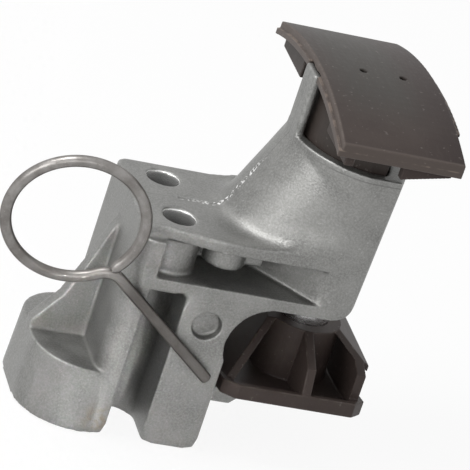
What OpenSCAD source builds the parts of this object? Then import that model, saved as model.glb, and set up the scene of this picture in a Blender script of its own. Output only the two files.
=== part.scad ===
// Timing chain tensioner with a cast body, a fixed upper shoe, a sprung lower shoe and a wire lock pin.
// The origin is the middle of the foot on the mounting face. X runs towards the shoes, Z runs up the piston.

/* [Foot] */
// Radius of the two round ends of the foot
foot_r = 12.5; // [10:0.5:15]
// Height of the foot up to its ledge
foot_h = 13.8; // [10:0.2:18]
// Draft of the foot's round wall, as the radius lost at its ledge
foot_draft = 0.6; // [0.2:0.1:1.5]
// Height at which the middle gusset runs out on the left face
gusset_h = 41; // [34:0.5:43]
// Thickness of the gusset
gusset_t = 3.4; // [2:0.2:5]

/* [Cast body] */
// Depth of the casting from its front face to its back face
body_d = 34; // [30:0.5:38]
// Distance from the foot's middle to the right face of the block
block_x = 24.9; // [22:0.1:27]
// Height of the underside of the deck
deck_z = 34.2; // [32:0.2:37]
// Thickness of the deck
deck_t = 2.7; // [2:0.1:4]
// Height of the side pockets
pocket_h = 7.9; // [6:0.1:10]
// Thickness of the bolting plate above the pockets
plate_t = 2.5; // [2:0.1:4]
// Thickness of the wall between the two pockets
web_t = 7; // [5:0.2:9]
// Width of the pillar at the left end of the pockets
pillar_w = 5.6; // [4:0.2:7]
// Radius of the pillar's outer corners
pillar_r = 4; // [2:0.5:5]
// Radius of the arch over the lower shoe
arch_r = 9.1; // [7:0.1:10]
// Radius of the round right end of the pockets
pocket_r = 10.7; // [8:0.1:12]
// Distance by which the plate's left corners stand back from the front and back faces
plate_inset = 2.4; // [1:0.1:3]
// Distance from the foot's middle at which the plate's front edge meets the front face
plate_front_x = 17; // [14:0.5:20]
// Distance from the foot's middle at which the plate's back edge meets the back face
plate_back_x = 32; // [26:0.5:34]
// Radius of the plate's left corners
plate_r = 2.5; // [1:0.1:4]
// Diameter of the round recess in the block's face
recess_d = 6.1; // [4:0.1:8]
// Depth of that recess
recess_depth = 2; // [1:0.1:3]
// Diameter of the round boss that hangs in each pocket
boss_d = 8.8; // [6:0.1:10]
// Drop of that boss below the plate
boss_drop = 4.8; // [3:0.1:6]
// Side of the small square boss
lug_w = 4; // [3:0.1:5]
// Drop of the square boss below the plate
lug_drop = 3.3; // [2:0.1:5]
// Distance from the block to the end of the ledge that stops the lower shoe
ledge_reach = 8; // [5:0.1:9]
// Width of the ledge
ledge_w = 20; // [12:0.5:24]
// Thickness of the ledge
ledge_t = 3.7; // [2.5:0.1:5]
// Gap between the ledge and the lower shoe at its lowest
ledge_gap = 0.4; // [0.3:0.05:0.6]

/* [Bolts] */
// Distance from the foot's middle to the bolt row
bolt_x = 9; // [8.6:0.1:9.4]
// Distance between the two bolts
bolt_pitch = 17; // [15.5:0.1:18]
// Diameter of the bolt holes
bolt_d = 7; // [6:0.1:7.4]
// Clearance between a bolt and the sides of the groove below its hole
groove_gap = 0.4; // [0.3:0.05:0.6]
// Extra depth of the groove behind the bolt
groove_in = 0.4; // [0.2:0.05:0.8]
// Wall of the bolt columns in the pockets
column_wall = 2.3; // [1.5:0.1:2.6]

/* [Tower] */
// Distance from the foot's middle to the piston axis
axis_x = 44.3; // [43.5:0.1:45]
// Distance from the piston axis to the middle of the tower's round wall
tower_shift = 1.7; // [1:0.1:3]
// Radius of the tower's round wall
tower_r = 17.5; // [16:0.1:18.5]
// Height of the tower's rim
rim_z = 67; // [65:0.2:70]
// Radius of the leaning left wall of the tower
lean_r = 15.5; // [14:0.1:16.5]
// Lean of that wall from the upright
lean_angle = 21; // [15:0.5:25]
// Reach of the leaning wall past the round wall, at the plate
lean_reach = 5.1; // [3:0.1:6]
// Radius of the hollow at the foot of the tower
flare_r = 8; // [5:0.2:10]
// Wall between the piston bore and the bulge of the right face
bore_wall = 1.85; // [1.6:0.05:3]
// Radius of the bulge of the right face
right_r = 36.5; // [30:0.5:45]
// Outward lean of the right face between the deck and the rim
right_lean = 1.2; // [0.5:0.1:3]
// Radius of the lower right corner
right_corner_r = 3.5; // [1.5:0.1:5]
// Wall around the upper shoe's socket
socket_wall = 2.5; // [2:0.1:3.5]
// Depth of that socket
socket_depth = 7; // [5:0.2:8]
// Width of the horn that backs the upper shoe
horn_w = 7; // [5:0.2:9]
// Thickness of the horn
horn_t = 1.8; // [1.2:0.1:1.9]
// Diameter of the oil drillings
oil_d = 2.6; // [2:0.1:3.2]

/* [Piston] */
// Diameter of the piston
piston_d = 10.6; // [9:0.1:11.5]
// Radial running clearance of the piston in its bore
bore_gap = 0.05; // [0.02:0.01:0.09]
// Wall of the hollow piston
piston_wall = 1.5; // [1.2:0.1:1.8]
// Length of the piston
piston_l = 26.5; // [25:0.1:26.8]
// Thickness of the piston's closed end
piston_floor = 5.5; // [3:0.1:7]
// Height of the top of the piston bore
bore_top = 56; // [55.5:0.1:57]
// Wire of the piston spring
spring_wire = 0.9; // [0.6:0.05:1.1]
// Clearance of the piston spring inside the piston
spring_gap = 0.25; // [0.15:0.05:0.4]
// Turns of the piston spring
spring_turns = 8; // [6:1:10]

/* [Check valve] */
// Thickness of the valve seat
seat_t = 1.5; // [1:0.1:1.8]
// Diameter of the ball
ball_d = 3; // [2.6:0.1:3.2]
// Diameter of the hole in the valve seat
seat_hole_d = 2.2; // [1.6:0.1:2.4]
// Side clearance of the ball in its cage
ball_gap = 0.25; // [0.1:0.05:0.3]
// Wall of the ball cage
cage_wall = 0.45; // [0.35:0.05:0.5]
// Drop of the cage below the valve seat
cage_drop = 4.5; // [4:0.1:5]
// Wire of the ball's spring
ball_wire = 0.3; // [0.2:0.05:0.4]

/* [Shoes] */
// Width of the upper shoe
shoe_w = 25.8; // [24:0.1:26.4]
// Distance from the piston axis to the upper shoe's middle
shoe_shift = 1.8; // [1.2:0.1:2.4]
// Radius of the faces that the chain runs over
slide_r = 95; // [70:1:140]
// Thickness of the upper slide plate
slide_t = 1.5; // [1.2:0.1:2.4]
// Diameter of the oil holes in the upper slide plate
spout_d = 1.6; // [1:0.1:2.4]
// Distance between those oil holes
spout_pitch = 8.6; // [6:0.1:12]
// Length of the upper shoe along the chain
upper_l = 56; // [48:0.5:62]
// Height of the upper shoe's crown
crown_z = 82.2; // [81:0.1:84]
// Thickness of the stepped layer under the upper slide plate
step_t = 1.3; // [1:0.1:2]
// Reach of that stepped layer past the slide plate's left side
step_out = 0.6; // [0.2:0.1:1]
// Reach of the stepped layer's middle part past the right side
wing_out = 1.6; // [1:0.1:2.4]
// Length of that middle part along the chain
wing_l = 32; // [24:0.5:38]
// Clearance between the stepped layer and the horn
horn_gap = 0.3; // [0.2:0.05:0.5]
// Wall of the upper shoe's skirt
skirt_wall = 2.2; // [1.6:0.1:3]
// Clearance of the skirt in its socket
skirt_gap = 0.2; // [0.1:0.05:0.4]
// Thickness of the ribs in both shoes
shoe_rib_t = 2; // [1.4:0.1:2.6]
// Height of the lower edge of the upper shoe's left ribs
upper_rib_z = 73; // [71:0.1:73.6]
// Extra height of the lower edge of its right ribs
upper_rib_rise = 1.4; // [0.8:0.1:1.8]
// Length of the cross ribs at its ends
cross_l = 10.2; // [6:0.1:14]
// Width of the lower shoe
low_w = 30.8; // [28:0.1:32]
// Distance from the piston axis to the lower shoe's middle
low_shift = 2.5; // [1.5:0.1:3]
// Length of the lower shoe along the chain
lower_l = 37; // [32:0.5:42]
// Thickness of the lower slide plate at its end lips
low_t = 3.2; // [2.8:0.1:4]
// Thickness of the lower slide plate between the lips
low_floor_t = 2; // [1.4:0.1:2.4]
// Height of the lower shoe's crown, at its lowest
low_z = 12.2; // [11:0.1:13]
// Height of the top of the lower shoe
low_top = 26.7; // [26:0.1:27.4]
// Height of the knee of the left slanted wall
low_knee_left = 15.3; // [14.5:0.1:18]
// Height of the outer edge of the right roof
low_roof_z = 23; // [22:0.1:24]
// Half length of that edge
low_roof_l = 11.7; // [9:0.1:13]
// Height at which the front edges of the right wall and the rib turn back
low_turn_z = 22.4; // [20:0.1:24]
// Distance from the slide plate's side to the right wall
low_side_in = 1.4; // [0.8:0.1:2]
// Distance from the shoe's middle to the top of the left wall
low_top_left = 6.4; // [5:0.1:8]
// Distance from the shoe's middle to the top of the right roof
low_top_right = 9.4; // [8:0.1:11]
// Half length of the walls at their top
low_top_l = 4.5; // [3:0.1:7]
// Radius of the round boss that holds the piston
low_boss_r = 8.2; // [7.4:0.1:9]
// Depth to which the piston sits in the lower shoe
low_seat = 4.2; // [3:0.1:5]
// Chamfer of the lower shoe's corners, across
low_cut_x = 2.8; // [1:0.1:4]
// Chamfer of the lower shoe's corners, along
low_cut_y = 3; // [2:0.1:6]

/* [Lock pin] */
// Diameter of the wire
wire_d = 2.4; // [1.8:0.1:3]
// Radius of the finger ring to the middle of the wire
ring_r = 13.8; // [12:0.1:16]
// Radius of the bend between the ring and the shank
bend_r = 4; // [3.2:0.1:5]
// Length of the straight shank
shank_l = 30.5; // [26:0.5:34]
// Slope of the shank below the horizontal
shank_slope = 38; // [30:0.5:42]
// Tilt of the ring out of the front face's plane, about the shank
ring_tilt = 12; // [0:0.5:15]
// Gap between the wire and the front face
wire_gap = 0.1; // [0.05:0.05:0.3]

/* [Hidden] */
$fn = 96;
skin = 0.01;
past = 2;
cast_colour = "#a4a39e";
steel_colour = "#8d8780";
plastic_colour = "#5a4a45";
arch_in = 1;
flare_shift = 1.5;
pocket_end = 3.1;
recess_drop = 6;
boss_gap = 0.8;
boss_off = 2;
lug_gap = 1;
ball_play = 0.03;
ball_turns = 3;
spout_shift = 1.1;
corner_run = 12;
oil_wall = 1.2;
oil_step = 0.2;
oil_land = 0.5;
ledge_chamfer = 1.6;
upper_rib_in = 1.7;
upper_rib_stop = 1;
cross_sag = 0.9;
low_lip = 2;
low_roof_t = 1.4;
low_rib_shift = 0.6;
low_rib_foot = 0.3;
low_rib_knee = 2;
low_rib_top = 8;
piston_chamfer = 0.6;
// Gusset outline, as shares of its reach and heights above the foot's ledge
gusset_line = [[1, 1.6], [0.82, 4.6], [0.6, 8], [0.35, 15.5]];
gusset_out = [0.12, 3];

half_d = body_d / 2;
deck_top = deck_z + deck_t;
pocket_top = deck_top + pocket_h;
plate_z = pocket_top + plate_t;
bolt_r = bolt_d / 2;
groove_r = bolt_r + groove_gap;
column_r = bolt_r + column_wall;
arch_x = block_x + arch_r - arch_in;
arch_z = deck_z - arch_r;
tower_x = axis_x + tower_shift;
lean_x = tower_x - tower_r + lean_r / cos(lean_angle) - lean_reach;
piston_r = piston_d / 2;
bore_r = piston_r + bore_gap;
right_x = axis_x + bore_r + bore_wall;
right_mid = right_x - right_r;
pocket_mid_x = axis_x - pocket_end - pocket_r;
pocket_mid_y = web_t / 2 + pocket_r;
recess_x = (bolt_x + groove_r + block_x) / 2;
recess_z = deck_z - recess_drop;
boss_x = bolt_x + column_r + boss_d / 2 + boss_gap;
boss_y = web_t / 2 + boss_d / 2 + boss_off;
lug_x = boss_x + boss_d / 2 + lug_gap;
socket_floor = rim_z - socket_depth;
seat_z = bore_top - seat_t;
piston_z = low_top - low_seat;
spring_low = piston_z + piston_floor;
spring_r = piston_r - piston_wall - spring_gap - spring_wire / 2;
ball_r = ball_d / 2;
ball_z = seat_z - sqrt(pow(ball_r, 2) - pow(seat_hole_d / 2, 2)) - ball_play;
cage_r = ball_r + ball_gap;
cage_z = seat_z - cage_drop;
horn_x = tower_x - tower_r;
horn_top = crown_z - slide_t - horn_gap;
shoe_mid = axis_x - shoe_shift;
shoe_left = shoe_mid - shoe_w / 2;
low_x = axis_x - low_shift;
ring_turn = 55;
ring_end = 32;
shank_x = -2;
shank_z = 36;
tip_cut = 0.3;
ring_steps = 90;
bend_steps = 12;
wire_sides = 16;
coil_sides = 8;
coil_steps = 14;

// A block between two X planes and two Z planes, centred on Y.
module slab(x0, x1, z0, z1, depth) {
  translate([x0, -depth / 2, z0])
    cube([x1 - x0, depth, z1 - z0]);
}

// An XZ outline drawn out along Y, centred on Y.
module along_y(depth) {
  translate([0, depth / 2, 0])
    rotate([90, 0, 0])
      linear_extrude(depth)
        children();
}

// A YZ outline drawn out along X from x0.
module along_x(x0, length) {
  translate([x0, 0, 0])
    rotate([90, 0, 90])
      linear_extrude(length)
        children();
}

// The same shape on the front and the back.
module both_sides() {
  children();
  mirror([0, 1, 0])
    children();
}

// A closed skin over a row of point rings.
module wire_skin(rings) {
  sides = len(rings[0]);
  last = (len(rings) - 1) * sides;
  points = [for (ring = rings, point = ring) point];
  walls = [
    for (i = [0 : len(rings) - 2], k = [0 : sides - 1])
      let (n = (k + 1) % sides)
        [i * sides + k, (i + 1) * sides + k, (i + 1) * sides + n, i * sides + n]
  ];
  first_cap = [for (k = [0 : sides - 1]) k];
  last_cap = [for (k = [sides - 1 : -1 : 0]) last + k];
  polyhedron(points, concat(walls, [first_cap], [last_cap]));
}

// A coil of round wire about the Z axis, between two heights of its wire's middle.
module coil(radius, wire, z0, z1, turns) {
  steps = coil_steps * turns;
  wire_skin([
    for (i = [0 : steps])
      let (a = 360 * turns * i / steps)
        [
          for (k = [0 : coil_sides - 1])
            let (b = 360 * k / coil_sides, r = radius + wire / 2 * cos(b))
              [r * cos(a), r * sin(a), z0 + (z1 - z0) * i / steps + wire / 2 * sin(b)]
        ]
  ]);
}

// Foot with two round ends and a slight draft.
module foot() {
  both_sides()
    translate([0, foot_r - half_d, 0])
      cylinder(h = foot_h, r1 = foot_r, r2 = foot_r - foot_draft);
  along_y(body_d - 2 * foot_r)
    polygon([[-foot_r, 0], [foot_r, 0], [foot_r, foot_h], [foot_draft - foot_r, foot_h]]);
}

// Thin gusset in the middle plane, from the foot's ledge up the left face.
module gusset() {
  reach = foot_r - foot_draft;
  along_y(gusset_t)
    polygon([
      [skin, foot_h - skin], [-reach, foot_h - skin],
      for (p = gusset_line) [-reach * p[0], foot_h + p[1]],
      [-reach * gusset_out[0], gusset_h - gusset_out[1]], [skin, gusset_h]
    ]);
}

// Column of the body with round outer corners on its left.
module body_column(x1, z0, z1) {
  slab(pillar_r, x1, z0, z1, body_d);
  slab(0, x1, z0, z1, body_d - 2 * pillar_r);
  both_sides()
    translate([pillar_r, pillar_r - half_d, z0])
      cylinder(h = z1 - z0, r = pillar_r);
}

// Legs below the deck, with the arch over the lower shoe and the round recesses.
module legs() {
  difference() {
    body_column(arch_x, 0, deck_z + skin);
    along_y(body_d + past)
      translate([arch_x, arch_z])
        circle(arch_r);
    slab(block_x, arch_x + past, -past, arch_z, body_d + past);
    both_sides()
      translate([recess_x, recess_depth - half_d, recess_z])
        rotate([90, 0, 0])
          cylinder(h = recess_depth + past, d = recess_d);
  }
}

// Ledge on the block that stops the lower shoe at the end of its travel.
module ledge() {
  top = low_z - ledge_gap;
  end_x = block_x + ledge_reach;
  along_y(ledge_w)
    polygon([
      [block_x - skin, top - ledge_t + ledge_chamfer], [block_x + ledge_chamfer, top - ledge_t],
      [end_x - ledge_chamfer, top - ledge_t], [end_x, top - ledge_t + ledge_chamfer],
      [end_x, top], [block_x - skin, top]
    ]);
}

// Open pocket between the deck and the plate on the front side.
module pocket() {
  front = -half_d - past;
  translate([pillar_w, front, deck_top])
    cube([pocket_mid_x - pillar_w, -web_t / 2 - front, pocket_h]);
  translate([pocket_mid_x, -pocket_mid_y, deck_top])
    cylinder(h = pocket_h, r = pocket_r);
  translate([pocket_mid_x, front, deck_top])
    cube([pocket_r, -pocket_mid_y - front, pocket_h]);
}

// Bolt column and the two small bosses inside the front pocket.
module pocket_bosses() {
  translate([bolt_x, -bolt_pitch / 2, deck_top - skin])
    cylinder(h = pocket_h + 2 * skin, r = column_r);
  translate([boss_x, -boss_y, pocket_top - boss_drop])
    cylinder(h = boss_drop + skin, d = boss_d);
  translate([lug_x, -web_t / 2 - lug_w, pocket_top - lug_drop])
    cube([lug_w, lug_w + skin, lug_drop + skin]);
}

// Cut that narrows the plate and rounds its corner at the front left.
module plate_corner(meet_x) {
  edge = plate_inset - half_d;
  start_x = max(pillar_w, meet_x - corner_run);
  translate([0, 0, pocket_top])
    linear_extrude(plate_t + past) {
      polygon([
        [-past, -half_d - past], [meet_x, -half_d - past], [meet_x, -half_d],
        [start_x, edge], [-past, edge]
      ]);
      difference() {
        translate([-past, edge - skin])
          square([plate_r + past, plate_r + skin]);
        translate([plate_r, edge + plate_r])
          circle(plate_r);
      }
    }
}

// Deck, pockets, plate and tower, before the right face is cut.
module upper_body() {
  difference() {
    body_column(right_x + past, deck_z, plate_z);
    both_sides()
      pocket();
    plate_corner(plate_front_x);
    mirror([0, 1, 0])
      plate_corner(plate_back_x);
  }
  both_sides()
    pocket_bosses();
  intersection() {
    union() {
      translate([tower_x, 0, deck_top])
        cylinder(h = rim_z - deck_top, r = tower_r);
      translate([lean_x, 0, plate_z])
        rotate([0, lean_angle, 0])
          translate([0, 0, -lean_r])
            cylinder(h = rim_z - plate_z + 2 * lean_r, r = lean_r);
      translate([lean_x + flare_shift, 0, plate_z - skin])
        rotate_extrude()
          difference() {
            square([lean_r + flare_r, flare_r]);
            translate([lean_r + flare_r, flare_r + skin])
              circle(flare_r);
          }
    }
    difference() {
      slab(0, right_x + past * 3, deck_top, rim_z, body_d);
      both_sides()
        pocket();
    }
  }
}

// Round envelope that gives the right face its bulge, lean and lower corner.
module right_envelope() {
  base = deck_z + right_corner_r;
  translate([right_mid, 0, 0])
    rotate_extrude($fn = 240) {
      polygon([[0, base], [right_r, base], [right_r + right_lean, rim_z], [0, rim_z]]);
      translate([0, deck_z])
        square([right_r - right_corner_r, right_corner_r + skin]);
      intersection() {
        translate([right_r - right_corner_r, base])
          circle(right_corner_r);
        translate([0, deck_z])
          square([right_r + past, right_corner_r + skin]);
      }
    }
}

// Socket outline of the upper shoe, shrunk by a clearance.
module socket_form(gap, z0, z1) {
  intersection() {
    translate([tower_x, 0, z0])
      cylinder(h = z1 - z0, r = tower_r - socket_wall - gap);
    slab(0, right_x + past, z0, z1, body_d - 2 * (socket_wall + gap));
    translate([right_mid, 0, z0])
      cylinder(h = z1 - z0, r = right_r - socket_wall - gap, $fn = 240);
  }
}

// Oil way from the mounting face to the space above the valve seat, with thinner cross drillings.
module oil_way() {
  oil_r = oil_d / 2;
  cross_r = oil_r - oil_step;
  rise_x = tower_x - tower_r + socket_wall + oil_wall;
  feed_z = deck_top + pocket_h / 2;
  top_z = bore_top + cross_r + oil_land;
  translate([recess_x, 0, -past])
    cylinder(h = feed_z + past, r = oil_r);
  translate([recess_x, 0, feed_z])
    rotate([0, 90, 0])
      cylinder(h = rise_x - recess_x, r = cross_r);
  translate([rise_x, 0, feed_z - oil_r])
    cylinder(h = top_z + oil_r - feed_z, r = oil_r);
  translate([rise_x, 0, top_z])
    rotate([0, 90, 0])
      cylinder(h = axis_x - rise_x, r = cross_r);
  translate([axis_x, 0, bore_top - skin])
    cylinder(h = top_z - bore_top + skin, r = oil_r);
}

// Bolt hole through the plate and the deck, and the open groove below it, on the front side.
module bolt_way() {
  groove_y = groove_in - bolt_pitch / 2;
  translate([bolt_x, -bolt_pitch / 2, deck_z - past])
    cylinder(h = plate_z - deck_z + 2 * past, r = bolt_r);
  translate([bolt_x, groove_y, -past])
    cylinder(h = deck_z + past, r = groove_r);
  translate([bolt_x - groove_r, -half_d - past, -past])
    cube([2 * groove_r, groove_y + half_d + past, deck_z + past]);
}

// Cast body in one piece.
module housing() {
  color(cast_colour)
    difference() {
      union() {
        foot();
        gusset();
        legs();
        ledge();
        intersection() {
          upper_body();
          right_envelope();
        }
        slab(horn_x, horn_x + horn_t, socket_floor, horn_top, horn_w);
      }
      both_sides()
        bolt_way();
      translate([axis_x, 0, deck_z - past])
        cylinder(h = bore_top - deck_z + past, r = bore_r);
      socket_form(0, socket_floor, rim_z + past);
      oil_way();
    }
}

// Outline of a curved layer of a shoe in the YZ plane, with its crown upwards.
module slide_outline(radius, thickness, length) {
  intersection() {
    difference() {
      circle(radius, $fn = 360);
      circle(radius - thickness, $fn = 360);
    }
    translate([-length / 2, 0])
      square([length, radius + past]);
  }
}

// Fixed upper shoe: slide plate with oil holes, stepped layer, skirt, long ribs and cross ribs.
module upper_shoe() {
  mid_z = crown_z - slide_r;
  inner_r = slide_r - slide_t - step_t;
  rib_end = upper_l / 2 - upper_rib_stop;
  right_rib = shoe_left + shoe_w - upper_rib_in;
  right_z = upper_rib_z + upper_rib_rise;
  rib_start = half_d - socket_wall - skirt_gap - skirt_wall;
  color(plastic_colour)
    difference() {
      union() {
        along_x(shoe_left, shoe_w)
          translate([0, mid_z])
            slide_outline(slide_r, slide_t, upper_l);
        along_x(shoe_left - step_out, shoe_w + step_out)
          translate([0, mid_z])
            slide_outline(slide_r - slide_t + skin, step_t + skin, upper_l);
        along_x(shoe_mid, shoe_w / 2 + wing_out)
          translate([0, mid_z])
            slide_outline(slide_r - slide_t, step_t / 2, wing_l);
        intersection() {
          union() {
            difference() {
              socket_form(skirt_gap, socket_floor, crown_z);
              translate([0, 0, -skin])
                socket_form(skirt_gap + skirt_wall, socket_floor, crown_z + past);
            }
            for (rib = [[shoe_left + upper_rib_in, upper_rib_z], [right_rib - shoe_rib_t, right_z]])
              both_sides()
                along_x(rib[0], shoe_rib_t)
                  polygon([
                    [-rib_start, rib[1]], [-rib_end, rib[1]], [-rib_end, crown_z], [-rib_start, crown_z]
                  ]);
            both_sides()
              translate([0, shoe_rib_t / 2 - rib_end, 0])
                along_y(shoe_rib_t)
                  polygon([
                    [right_rib - cross_l, upper_rib_z - cross_sag], [right_rib, right_z],
                    [right_rib, crown_z], [right_rib - cross_l, crown_z]
                  ]);
          }
          along_x(shoe_left, shoe_w)
            translate([0, mid_z])
              circle(inner_r + step_t / 2, $fn = 360);
        }
      }
      slab(shoe_left - past, horn_x + horn_t + horn_gap, socket_floor, crown_z - slide_t, horn_w + 2 * horn_gap);
      for (side = [-1, 1])
        translate([shoe_mid + spout_shift + side * spout_pitch / 2, 0, rim_z])
          cylinder(h = crown_z - rim_z + past, d = spout_d);
    }
}

// Slanted left wall of the lower shoe, cut back from the plate's corners to its short top.
module low_left_wall(wall_l) {
  side = low_w / 2;
  intersection() {
    along_y(2 * wall_l)
      polygon([
        [-side, low_z], [-side, low_knee_left], [-low_top_left, low_top],
        [shoe_rib_t - low_top_left, low_top], [shoe_rib_t - side, low_knee_left], [shoe_rib_t - side, low_z]
      ]);
    along_x(-side - past, low_w)
      polygon([
        [-wall_l, low_z], [-wall_l, low_knee_left], [-low_top_l, low_top],
        [low_top_l, low_top], [wall_l, low_knee_left], [wall_l, low_z]
      ]);
  }
}

// Upright right wall of the lower shoe, with a roof that stands over it.
module low_right_wall(wall_l) {
  side = low_w / 2;
  wall = side - low_side_in;
  wall_z = low_roof_z + low_side_in * (low_top - low_roof_z) / (side - low_top_right);
  intersection() {
    union() {
      along_y(2 * wall_l)
        polygon([
          [wall, low_z], [wall, wall_z], [low_top_right, low_top],
          [low_top_right - shoe_rib_t, low_top], [wall - shoe_rib_t, wall_z], [wall - shoe_rib_t, low_z]
        ]);
      along_y(2 * low_roof_l)
        polygon([
          [wall - skin, wall_z - low_roof_t], [side, low_roof_z - low_roof_t], [side, low_roof_z],
          [wall - skin, wall_z]
        ]);
    }
    along_x(0, low_w)
      polygon([
        [-wall_l, low_z], [-wall_l, low_turn_z], [-low_top_l, low_top],
        [low_top_l, low_top], [wall_l, low_turn_z], [wall_l, low_z]
      ]);
  }
}

// Middle rib of the lower shoe, from lip to lip, with a knee in its front and back edges.
module low_rib(half_l) {
  foot_l = half_l - low_rib_foot;
  knee_l = half_l - low_rib_knee;
  foot_z = low_z + slide_r - sqrt(pow(slide_r - low_t, 2) - pow(half_l, 2));
  along_x(low_shift - low_rib_shift - shoe_rib_t / 2, shoe_rib_t)
    polygon([
      [-foot_l, low_z], [-foot_l, foot_z], [-knee_l, low_turn_z], [-low_rib_top, low_top],
      [low_rib_top, low_top], [knee_l, low_turn_z], [foot_l, foot_z], [foot_l, low_z]
    ]);
}

// Slide plate of the lower shoe, with cut corners and a lip at each end.
module low_plate(half_l, wall_l) {
  side = low_w / 2;
  mid_z = low_z + slide_r;
  difference() {
    intersection() {
      along_x(-side, low_w)
        translate([0, mid_z])
          mirror([0, 1])
            slide_outline(slide_r, low_t, lower_l);
      translate([0, 0, low_z - past])
        linear_extrude(low_top - low_z + 2 * past)
          polygon([
            [low_cut_x - side, -half_l], [side - low_cut_x, -half_l],
            [side, -wall_l], [side, wall_l],
            [side - low_cut_x, half_l], [low_cut_x - side, half_l],
            [-side, wall_l], [-side, -wall_l]
          ]);
    }
    along_x(shoe_rib_t - side, low_w - 2 * shoe_rib_t - low_side_in)
      intersection() {
        translate([0, mid_z])
          circle(slide_r - low_floor_t, $fn = 360);
        translate([low_lip - half_l, low_z])
          square([lower_l - 2 * low_lip, low_top - low_z]);
      }
  }
}

// Sprung lower shoe: slide plate, walls, middle rib and the boss that holds the piston.
module lower_shoe() {
  half_l = lower_l / 2;
  wall_l = half_l - low_cut_y;
  color(plastic_colour)
    translate([low_x, 0, 0])
      difference() {
        union() {
          low_plate(half_l, wall_l);
          intersection() {
            union() {
              low_left_wall(wall_l);
              low_right_wall(wall_l);
              low_rib(half_l);
              translate([low_shift, 0, low_z])
                cylinder(h = low_top - low_z, r = low_boss_r);
            }
            along_x(-low_w, 2 * low_w)
              translate([0, low_z + slide_r])
                circle(slide_r - low_floor_t / 2, $fn = 360);
          }
        }
        translate([low_shift, 0, piston_z])
          cylinder(h = low_seat + past, r = bore_r);
      }
}

// Hollow piston, closed at its lower end.
module piston() {
  color(steel_colour)
    translate([axis_x, 0, piston_z])
      difference() {
        rotate_extrude()
          polygon([
            [0, 0], [piston_r - piston_chamfer, 0], [piston_r, piston_chamfer],
            [piston_r, piston_l - piston_chamfer], [piston_r - piston_chamfer, piston_l], [0, piston_l]
          ]);
        translate([0, 0, piston_floor])
          cylinder(h = piston_l, r = piston_r - piston_wall);
      }
}

// Coil spring between the piston's floor and the valve seat.
module piston_spring() {
  color(steel_colour)
    translate([axis_x, 0, 0])
      coil(spring_r, spring_wire, spring_low + spring_wire / 2, seat_z - spring_wire / 2, spring_turns);
}

// Disc at the top of the bore, with the hole that the ball closes.
module valve_seat() {
  color(steel_colour)
    translate([axis_x, 0, seat_z])
      difference() {
        cylinder(h = seat_t, r = piston_r);
        translate([0, 0, -past])
          cylinder(h = seat_t + 2 * past, d = seat_hole_d);
      }
}

// Cup below the valve seat that holds the ball.
module valve_cage() {
  color(steel_colour)
    translate([axis_x, 0, cage_z])
      difference() {
        cylinder(h = cage_drop, r = cage_r + cage_wall);
        translate([0, 0, cage_wall])
          cylinder(h = cage_drop, r = cage_r);
        translate([0, 0, -past])
          cylinder(h = 2 * past, r = cage_r / 2);
      }
}

// Ball of the check valve.
module check_ball() {
  color(steel_colour)
    translate([axis_x, 0, ball_z])
      sphere(ball_r);
}

// Light spring under the ball.
module valve_spring() {
  coil_r = cage_r - 2 * ball_wire;
  low = cage_z + cage_wall + ball_wire / 2;
  high = ball_z - sqrt(pow(ball_r, 2) - pow(coil_r, 2)) - ball_wire;
  color(steel_colour)
    translate([axis_x, 0, 0])
      coil(coil_r, ball_wire, low, high, ball_turns);
}

// Wire pin with a finger ring, a bend and a straight shank, lying on the front face.
module lock_pin() {
  wire_r = wire_d / 2;
  wire_y = -half_d - wire_gap - wire_r;
  bend_x = -bend_r * sin(shank_slope);
  bend_z = -bend_r * cos(shank_slope);
  ring_x = bend_x - (ring_r + bend_r) * cos(ring_turn);
  ring_z = bend_z + (ring_r + bend_r) * sin(ring_turn);
  sweep = 360 - ring_turn + ring_end;
  turn = 90 + shank_slope - ring_turn;
  tip = [cos(shank_slope), -sin(shank_slope)];
  // Each point of the path is x, z, the heading and the wire's radius there.
  ring_path = [
    for (i = [0 : ring_steps])
      let (a = sweep * i / ring_steps - ring_end)
        [ring_x + ring_r * cos(a), ring_z + ring_r * sin(a), a + 90, i == 0 ? wire_r - tip_cut : wire_r]
  ];
  bend_path = [
    for (i = [1 : bend_steps])
      let (a = 180 - ring_turn - turn * i / bend_steps)
        [bend_x + bend_r * cos(a), bend_z + bend_r * sin(a), a - 90, wire_r]
  ];
  shank_path = [
    for (end = [[shank_l - tip_cut, wire_r], [shank_l, wire_r - tip_cut]])
      [end[0] * tip[0], end[0] * tip[1], -shank_slope, end[1]]
  ];
  // The path is drawn with the shank's start at the origin, so that the ring tilts about the shank.
  color(steel_colour)
    translate([shank_x, wire_y, shank_z])
      rotate(ring_tilt, [tip[0], 0, tip[1]])
        wire_skin([
          for (p = concat(ring_path, bend_path, shank_path))
            [
              for (k = [0 : wire_sides - 1])
                let (b = 360 * k / wire_sides, side = p[3] * cos(b))
                  [p[0] - side * sin(p[2]), p[3] * sin(b), p[1] + side * cos(p[2])]
            ]
        ]);
}

housing();
upper_shoe();
lower_shoe();
piston();
piston_spring();
valve_seat();
valve_cage();
check_ball();
valve_spring();
lock_pin();
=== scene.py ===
import bpy
import numpy as np
from mathutils import Matrix, Vector, noise


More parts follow.
